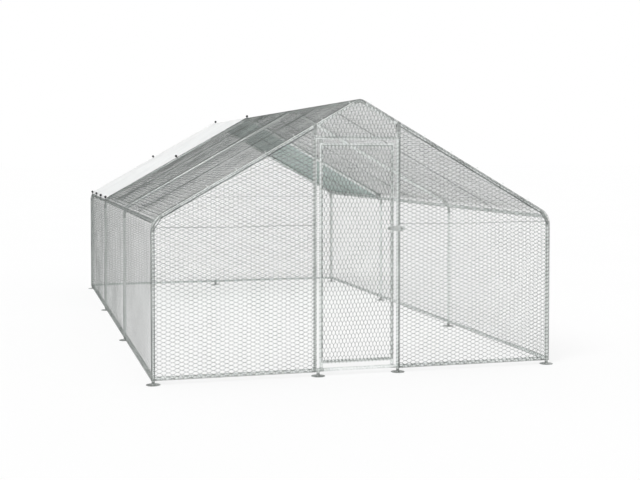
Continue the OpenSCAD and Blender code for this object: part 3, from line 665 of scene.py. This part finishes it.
slope_0, slope_1 = eave_tan + wind_gap, roof_bend_s - wind_gap
turns = []
for side in (-1, 1):
    for y in (front_y, back_y):
        turns.append(wound((side * half_w, y, post_foot_z), (side * half_w, y, post_head_z), mesh_pitch,
                           (side, 0, 0), (0, math.copysign(1, y), 0)))
lacing("lacing_posts", turns, "frame")

turns = []
for y0, y1 in zip(portal_ys, portal_ys[1:]):
    for side in (-1, 1):
        turns.append(wound((side * half_w, y0 + wind_gap, base_z), (side * half_w, y1 - wind_gap, base_z),
                           rail_pitch, (side, 0, 0)))
        turns.append(wound((side * -eave_x, y0 + wind_gap, eave_z), (side * -eave_x, y1 - wind_gap, eave_z),
                           rail_pitch, (side * math.cos(eave_turn / 2), 0, math.sin(eave_turn / 2))))
    turns.append(wound((0, y0 + wind_gap, ridge_z), (0, y1 - wind_gap, ridge_z), rail_pitch, (0, 0, 1)))
lacing("lacing_rails", turns, "frame")

turns = []
for x0, x1, y in ((-half_w, 0, back_y), (0, half_w, back_y),
                  (-half_w, post_l_x, front_y), (post_r_x, half_w, front_y)):
    turns.append(wound((x0 + wind_gap, y, base_z), (x1 - wind_gap, y, base_z), rail_pitch,
                       (0, math.copysign(1, y), 0)))
for x, lows in ((post_l_x, ((post_foot_z, lintel_z - head_gap),)),
                (post_r_x, ((post_foot_z, hasp_low), (hasp_high, lintel_z - head_gap)))):
    for z0, z1 in lows:
        turns.append(wound((x, front_y, z0), (x, front_y, z1), mesh_pitch, (0, -1, 0)))
turns.append(wound((post_l_x + hinge_room, front_y, lintel_z), (post_r_x - wind_gap, front_y, lintel_z), mesh_pitch,
                   (0, -1, 0)))
clamp_s = rafter_s(post_r_x)
clamp_room = 0.05
for s0, s1 in ((slope_0, clamp_s - clamp_room), (clamp_s + clamp_room, slope_1)):
    turns.append(wound(slope_point(1, s0, front_y), slope_point(1, s1, front_y), mesh_pitch,
                       (math.sin(pitch), 0, math.cos(pitch)), (0, -1, 0)))
lacing("lacing_gables", turns, "frame")

rings = []
ring_step = 0.21
for y in portal_ys[1:3]:
    for side in (-1, 1):
        for z in np.arange(post_foot_z + ring_step / 2, post_head_z, ring_step):
            rings.append(ring_tie((side * half_w, y, z), (0, 0, 1)))
        for s in np.arange(slope_0 + ring_step / 2, slope_1, ring_step):
            x, _, z = slope_point(side, s, y)
            rings.append(ring_tie((x, y, z), up_slope(side)))
lacing("lacing_rings", rings, "frame")

knots = []
knot_step, knot_gap, knot_r = 0.24, 0.003, 0.002
tail_l, tail_lean = 0.022, 0.004
tail_out, tail_up = 0.8, 0.6
for y, out in ((front_y, -1), (back_y, 1)):
    for side in (-1, 1):
        clamp_s = rafter_s(post_l_x if side < 0 else post_r_x)
        for s in np.arange(slope_0 + knot_step / 2, slope_1, knot_step):
            if y == front_y and abs(s - clamp_s) < clamp_room:
                continue
            up = Vector((side * math.sin(pitch), 0, math.cos(pitch)))
            for shift in (-knot_gap, knot_gap):
                at = Vector(slope_point(side, s + shift, y))
                knots.append(ring_tie(at, up_slope(side), knot_r))
                lean = up if y < 0 else -up
                root = at + Vector((0, out * ring_r, 0)) * tail_out + lean * ring_r * tail_up
                other = Vector(slope_point(side, s - shift, y)) - at
                tip = root + lean * tail_l + other + Vector((0, out * tail_lean, 0))
                knots.append(edge_wire(root, tip, 1, knot_r))
lacing("lacing_knots", knots, "frame", tube_zinc)


# Roof cover
# A light grey tarpaulin of woven and coated polythene strip, green underneath, over the rear bay.
# Its hems carry eyelets, and ball ties hold it to the purlins and to the two rafters under it.

cover_low_s = 0.008
cover_lap = 0.008
cover_n = 0.0182
cover_t = 0.0012
tie_inset = 0.04
cover_y0 = portal_ys[2] - cover_lap
cover_y1 = portal_ys[3] + cover_lap
cover_half = roof_bend_s + (ridge_bend_r + net_n) * pitch - cover_low_s
cover_cells = (140, 80)
hem_cells = 1.5
free_along, free_across = 0.5, 0.08
swell_h = 0.0012
pucker_h, pucker_step, pucker_fade = 0.0016, 0.632, 14
bpy.ops.mesh.primitive_grid_add(x_subdivisions=cover_cells[0], y_subdivisions=cover_cells[1], size=1,
                                location=(0, 0, 0))
cover = start_piece("roof_cover_sheet")
across, along, _ = points_of(cover).T * 2
y = (cover_y0 + cover_y1) / 2 + along * (cover_y1 - cover_y0) / 2
s = cover_low_s + cover_half * (1 - np.abs(across))
free = np.clip((1 - np.abs(along)) / free_along, 0, 1) * np.clip((1 - np.abs(across)) / free_across, 0, 1)
free = free ** 2 * (3 - 2 * free)
swell = swell_h * free * (1 + np.sin(7.5 * y + 3.1 * across) * np.cos(5.2 * across + 2.2 * along))
drawn = np.cos(2 * math.pi * (y - cover_y0 - tie_inset) / pucker_step)
pucker = pucker_h * np.exp(-(1 - np.abs(across)) * pucker_fade) * (1 + drawn)
x, y, z = on_roof(-1, s, y, cover_n + swell + pucker)
x = np.where(across > 0, -x, x)
move_points(cover, np.stack([x, y, z], 1))
only(cover)
bpy.ops.object.mode_set(mode="EDIT")
bpy.ops.mesh.select_all(action="SELECT")
bpy.ops.mesh.normals_make_consistent(inside=False)
bpy.ops.object.mode_set(mode="OBJECT")
if cover.data.polygons[0].normal.z < 0:
    cover.data.flip_normals()
corners = np.empty(len(cover.data.loops), int)
cover.data.loops.foreach_get("vertex_index", corners)
corners = corners.reshape(-1, 4)
rim = ((np.abs(across)[corners].mean(1) > 1 - hem_cells / cover_cells[0])
       | (np.abs(along)[corners].mean(1) > 1 - hem_cells / cover_cells[1]))
bpy.ops.object.mode_set(mode="EDIT")
bpy.ops.mesh.select_mode(type="FACE")
bpy.ops.mesh.select_all(action="DESELECT")
bpy.ops.object.mode_set(mode="OBJECT")
cover.data.polygons.foreach_set("select", rim)
bpy.ops.object.mode_set(mode="EDIT")
bpy.ops.mesh.duplicate()
bpy.ops.mesh.separate(type="SELECTED")
bpy.ops.mesh.select_mode(type="VERT")
bpy.ops.object.mode_set(mode="OBJECT")
hem = [piece for piece in bpy.context.selected_objects if piece != cover][0]
hem.name = hem.data.name = "roof_cover_hem"


# Crossed strips of the woven cloth and the cloudy wear over them
cloth_weave, given, place = start_effect("cloth_weave", "Strip scale", "Wear scale")
strips = []
for axis in "XY":
    wave = add_node(cloth_weave, "ShaderNodeTexWave",
                    {"Vector": place, "Scale": given["Strip scale"], "Distortion": 0.4},
                    wave_type="BANDS", bands_direction=axis)
    strips.append(wave.outputs["Fac"])
weave = maths(cloth_weave, "MULTIPLY", *strips)
wear = add_node(cloth_weave, "ShaderNodeTexNoise",
                {"Vector": place, "Scale": given["Wear scale"], "Detail": 6.0}).outputs["Fac"]
tone = maths(cloth_weave, "ADD", maths(cloth_weave, "MULTIPLY", weave, 0.25),
             maths(cloth_weave, "MULTIPLY", wear, 0.75))
end_effect(cloth_weave, {"Tone": tone, "Wear": wear, "Height": weave})


def cover_cloth(name, dark, light):
    made = bpy.data.materials.new(name)
    made.use_nodes = True
    tree = made.node_tree
    shader = tree.nodes["Principled BSDF"]
    cloth = add_node(tree, "ShaderNodeGroup", {"Strip scale": 60.0, "Wear scale": 3.0}, node_tree=cloth_weave)
    tree.links.new(ramp(tree, cloth.outputs["Tone"], [(0.25, dark), (0.65, light)]), shader.inputs["Base Color"])
    tree.links.new(ranged(tree, cloth.outputs["Wear"], 0.42, 0.6), shader.inputs["Roughness"])
    shader.inputs["Subsurface Weight"].default_value = 0.9
    shader.inputs["Subsurface Radius"].default_value = (1.0, 1.0, 1.0)
    shader.inputs["Subsurface Scale"].default_value = 0.004
    bump = add_node(tree, "ShaderNodeBump",
                    {"Height": cloth.outputs["Height"], "Strength": 0.3, "Distance": 0.0004})
    tree.links.new(bump.outputs["Normal"], shader.inputs["Normal"])
    return made


cover_top = cover_cloth("cover_top", (0.63, 0.643, 0.64), (0.77, 0.78, 0.778))
# Underside: the green tint is the sheet's own colour, but its brightness, above the top's, is painted light
# standing in for daylight shining through the sheet
cover_under_green_painted_light = cover_cloth("cover_under_green_painted_light", (0.70, 0.92, 0.82), (0.80, 0.98, 0.90))
cover.data.materials.append(cover_top)
cover.data.materials.append(cover_under_green_painted_light)
thick = cover.modifiers.new("thick", "SOLIDIFY")
thick.thickness = cover_t
thick.offset = -1
thick.material_offset = 1
thick.material_offset_rim = 0
apply_all(cover)
bpy.ops.object.shade_smooth()
finish_with(hem, cover_top)
fold = hem.modifiers.new("fold", "SOLIDIFY")
fold.thickness = cover_t / 2
fold.offset = 1
apply_all(hem)
bpy.ops.object.shade_smooth_by_angle(angle=math.radians(40))
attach(hem, "frame")
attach(cover, "frame")
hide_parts("roof_cover")


# Cover ties
# Black plastic balls on loops of elastic cord: each loop goes through an eyelet, round the tube below,
# and hooks over its ball. The eyelets are rolled zinc rings.

ball_r = 0.013
flat_at, neck_l, neck_part = 0.9, 0.003, 0.8
cord_r = 0.002
loop_pinch, loop_bite = 0.55, 0.8
eave_tie_ys = [portal_ys[2] + tie_inset + k * (bay_l - 2 * tie_inset) / 3 for k in range(4)]
ridge_tie_ys = [portal_ys[2] + tie_inset, portal_ys[3] - tie_inset]
mid_s = rafter_l / 2

# Fine specks that move the colour of a plain material
speckle, given, place = start_effect("speckle", "Specks per metre", "Detail")
speck = add_node(speckle, "ShaderNodeTexNoise",
                 {"Vector": place, "Scale": given["Specks per metre"], "Detail": given["Detail"]}).outputs["Fac"]
end_effect(speckle, {"Speck": speck})


def speckled(name, specks, detail, stops):
    made = bpy.data.materials.new(name)
    made.use_nodes = True
    tree = made.node_tree
    shader = tree.nodes["Principled BSDF"]
    skin = add_node(tree, "ShaderNodeGroup", {"Specks per metre": specks, "Detail": detail}, node_tree=speckle)
    tree.links.new(ramp(tree, skin.outputs["Speck"], stops), shader.inputs["Base Color"])
    return made, tree, shader, skin.outputs["Speck"]


ball_black, tree, shader, scuff = speckled("ball_black", 240.0, 4.0, [(0.35, (0.008, 0.008, 0.009)),
                                                                      (0.75, (0.03, 0.03, 0.032))])
tree.links.new(ranged(tree, scuff, 0.3, 0.55), shader.inputs["Roughness"])
bump = add_node(tree, "ShaderNodeBump", {"Height": scuff, "Strength": 0.2, "Distance": 0.0005})
tree.links.new(bump.outputs["Normal"], shader.inputs["Normal"])


# A ball with a flat under it and a short neck for the cord, and an oval loop of cord round the tube
def ball_tie(ball, tube, along, loop_r):
    ball, tube, along = Vector(ball), Vector(tube), Vector(along)
    up = (ball - tube).normalized()
    bpy.ops.mesh.primitive_uv_sphere_add(segments=20, ring_count=12, radius=ball_r, location=(0, 0, 0))
    knob = bpy.context.active_object
    bpy.ops.object.mode_set(mode="EDIT")
    bpy.ops.mesh.select_all(action="DESELECT")
    bpy.ops.object.mode_set(mode="OBJECT")
    for face in knob.data.polygons:
        face.select = face.center.z < -flat_at * ball_r
    bpy.ops.object.mode_set(mode="EDIT")
    bpy.ops.mesh.extrude_region_move(TRANSFORM_OT_translate={"value": (0, 0, -neck_l)})
    bpy.ops.transform.resize(value=(neck_part, neck_part, 0))
    bpy.ops.object.mode_set(mode="OBJECT")
    knob.matrix_world = Matrix.Translation(ball) @ up.to_track_quat("Z", "Y").to_matrix().to_4x4()
    bpy.ops.object.transform_apply(location=True, rotation=True, scale=True)
    bpy.ops.object.shade_smooth()
    reach = (ball - tube).length
    bpy.ops.mesh.primitive_torus_add(major_radius=loop_r, minor_radius=cord_r, major_segments=40, minor_segments=8)
    loop = bpy.context.active_object
    x, y, z = points_of(loop).T
    top = np.clip(y / loop_r, 0, 1)
    x = x * (1 - loop_pinch * top ** 2)
    y = np.where(y > 0, y * (reach - loop_bite * ball_r) / loop_r, y)
    move_points(loop, np.stack([x, y, z], 1))
    side = along.cross(up).normalized()
    turn = Matrix((side, up, along)).transposed().to_4x4()
    turn.translation = tube
    loop.matrix_world = turn
    only(loop)
    bpy.ops.object.transform_apply(location=True, rotation=True, scale=True)
    bpy.ops.object.shade_smooth()
    return [knob, loop]


def cover_point(side, s, y, n):
    return Vector([float(c[0]) for c in on_roof(side, np.array([s]), np.array([y]), np.array([n]))])


# A rolled ring pressed flat onto the sheet
def eyelet(side, s, y):
    at, above = cover_point(side, s, y, cover_n + cover_t), cover_point(side, s, y, cover_n + 2 * cover_t)
    bpy.ops.mesh.primitive_torus_add(major_radius=eyelet_r, minor_radius=eyelet_roll, major_segments=20,
                                     minor_segments=8, location=(0, 0, 0))
    made = bpy.context.active_object
    bpy.ops.object.mode_set(mode="EDIT")
    bpy.ops.mesh.select_all(action="SELECT")
    bpy.ops.transform.resize(value=(1, 1, eyelet_flat))
    bpy.ops.object.mode_set(mode="OBJECT")
    made.matrix_world = Matrix.Translation(at) @ (above - at).to_track_quat("Z", "Y").to_matrix().to_4x4()
    bpy.ops.object.transform_apply(location=True, rotation=True, scale=True)
    bpy.ops.object.shade_smooth()
    return made


ties, eyelets = [], []
loop_room, ball_gap, rafter_tie_in = 0.0045, 0.0025, 0.007
loop_r = tube_r + loop_room
ball_n = cover_n + ball_r + ball_gap
eave_tie_s = 0.0242
ridge_tie_s = cover_low_s + cover_half
eyelet_r, eyelet_roll, eyelet_flat = 0.0085, 0.0021, 0.6
for side in (-1, 1):
    for y in eave_tie_ys:
        ties += ball_tie(cover_point(side, eave_tie_s, y, ball_n), (side * -eave_x, y, eave_z), (0, 1, 0), loop_r)
        eyelets.append(eyelet(side, eave_tie_s, y))
    for y0, toward in ((portal_ys[2], 1), (portal_ys[3], -1)):
        y = y0 + toward * rafter_tie_in
        ties += ball_tie(cover_point(side, mid_s, y, ball_n), slope_point(side, mid_s, y0), up_slope(side), loop_r)
        eyelets.append(eyelet(side, mid_s, y))
for y in ridge_tie_ys:
    ties += ball_tie(cover_point(-1, ridge_tie_s, y, ball_n), (0, y, ridge_z), (0, 1, 0), loop_r)
    eyelets.append(eyelet(-1, ridge_tie_s, y))
eyelet_set = join(eyelets, "cover_eyelets")
finish_with(eyelet_set, strap_zinc)
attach(eyelet_set, "frame")
tie_set = join(ties, "cover_tie_set")
finish_with(tie_set, ball_black)
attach(tie_set, "frame")
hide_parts("cover_ties")


# Door leaf
# Two stiles and two coped rails of the same tube, laced with netting turned upright.
# The hinge stile slips over a pin at each end, and plastic caps close the latch stile.

cap_grey, tree, shader, mould = speckled("cap_grey", 400.0, 3.0, [(0.3, (0.34, 0.36, 0.35)),
                                                                  (0.7, (0.5, 0.52, 0.51))])
tree.links.new(ranged(tree, mould, 0.45, 0.65), shader.inputs["Roughness"])
dress(["stile_caps"], cap_grey)
dress(["door_stile_hinge", "door_stile_latch", "door_rail_top", "door_rail_low"], tube_zinc)

leaf_low, leaf_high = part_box("door_net")
leaf_y = (leaf_low.y + leaf_high.y) / 2
leaf_h, leaf_w = leaf_high.z - leaf_low.z, leaf_high.x - leaf_low.x
bracket_room = (-0.01, 0.035)
leaf_corners = [(0, 0), (leaf_h, 0), (leaf_h, leaf_w), (0, leaf_w)]
net_piece("door_leaf_net", "door_net", leaf_h, leaf_w, on_turned(leaf_high.x, leaf_low.z, leaf_y),
          edges=[(a, b, 1) for a, b in zip(leaf_corners, leaf_corners[1:] + leaf_corners[:1])],
          holes=[(hasp_low - leaf_low.z, hasp_high - leaf_low.z, *bracket_room)], body="door", mesh_w=turned_w)
turns = []
for z in (leaf_low.z, leaf_high.z):
    turns.append(wound((leaf_low.x + wind_gap, front_y, z), (leaf_high.x - wind_gap, front_y, z), mesh_pitch,
                       (0, -1, 0)))
for x, spans in ((leaf_low.x, ((leaf_low.z + wind_gap, leaf_high.z - wind_gap),)),
                 (leaf_high.x, ((leaf_low.z + wind_gap, hasp_low), (hasp_high, leaf_high.z - wind_gap)))):
    for z0, z1 in spans:
        turns.append(wound((x, front_y, z0), (x, front_y, z1), rail_pitch, (0, -1, 0)))
lacing("lacing_door", turns, "door")


# Hasp
# A steel strap on a knuckle bracket round the latch stile. It swings over a drilled stud on the door
# post, where a pin or a small padlock keeps it shut.

dress(["hasp_bracket", "hasp_strap"], strap_zinc)
dress(["bracket_bolt", "hasp_pin"], bolt_zinc)


# Studio
# A pale floor that runs into a white surround, one soft sun and a bright sky, so that colours show
# about as they are written. The camera stands at the photograph's place.

floor_w, floor_drop = 400, 0.0005
paper_glow, sky_fill = 0.75, 0.66
bpy.ops.mesh.primitive_plane_add(size=floor_w, location=(0, 0, -floor_drop))
floor = start_piece("studio_floor")
paper, tree, shader, _ = speckled("studio_paper", 0.4, 2.0, [(0.3, (0.95, 0.95, 0.95)), (0.7, (0.97, 0.97, 0.97))])
shader.inputs["Roughness"].default_value = 0.9
shader.inputs["Specular IOR Level"].default_value = 0.1


# Rays that show the background: the camera's, and those that metal and glass send on
def seen_rays(tree):
    path = tree.nodes.new("ShaderNodeLightPath")
    straight = maths(tree, "MAXIMUM", path.outputs["Is Camera Ray"], path.outputs["Is Glossy Ray"])
    return maths(tree, "MAXIMUM", straight, path.outputs["Is Transmission Ray"])


lit = add_node(tree, "ShaderNodeEmission", {"Strength": 1.0})
blend = tree.nodes.new("ShaderNodeMixShader")
tree.links.new(ranged(tree, seen_rays(tree), 0, paper_glow), blend.inputs["Fac"])
tree.links.new(shader.outputs["BSDF"], blend.inputs[1])
tree.links.new(lit.outputs["Emission"], blend.inputs[2])
tree.links.new(blend.outputs["Shader"], tree.nodes["Material Output"].inputs["Surface"])
floor.data.materials.append(paper)

world = bpy.data.worlds.new("studio_world")
bpy.context.scene.world = world
world.use_nodes = True
tree = world.node_tree
tree.nodes.clear()
glow = add_node(tree, "ShaderNodeBackground",
                {"Color": (1, 1, 1, 1), "Strength": ranged(tree, seen_rays(tree), sky_fill, 1.0)})
surround = tree.nodes.new("ShaderNodeOutputWorld")
tree.links.new(glow.outputs["Background"], surround.inputs["Surface"])

bpy.ops.object.light_add(type="SUN", rotation=(math.radians(38), math.radians(-14), math.radians(-30)))
sun = bpy.context.active_object
sun.name = "studio_sun"
sun.data.energy = 1.5
sun.data.angle = math.radians(24)

bpy.ops.object.camera_add(location=(-2.4404, -10.667, 1.5762),
                          rotation=(math.radians(88.16), 0, math.radians(-15.536)))
camera = bpy.context.active_object
camera.name = "studio_camera"
camera.data.sensor_width = 36
camera.data.lens = 62.58
camera.data.shift_y = -0.0725
camera.data.clip_end = 600
bpy.context.scene.camera = camera
bpy.context.scene.view_settings.view_transform = "Standard"

for pattern in repeats.values():
    bpy.data.objects.remove(pattern)
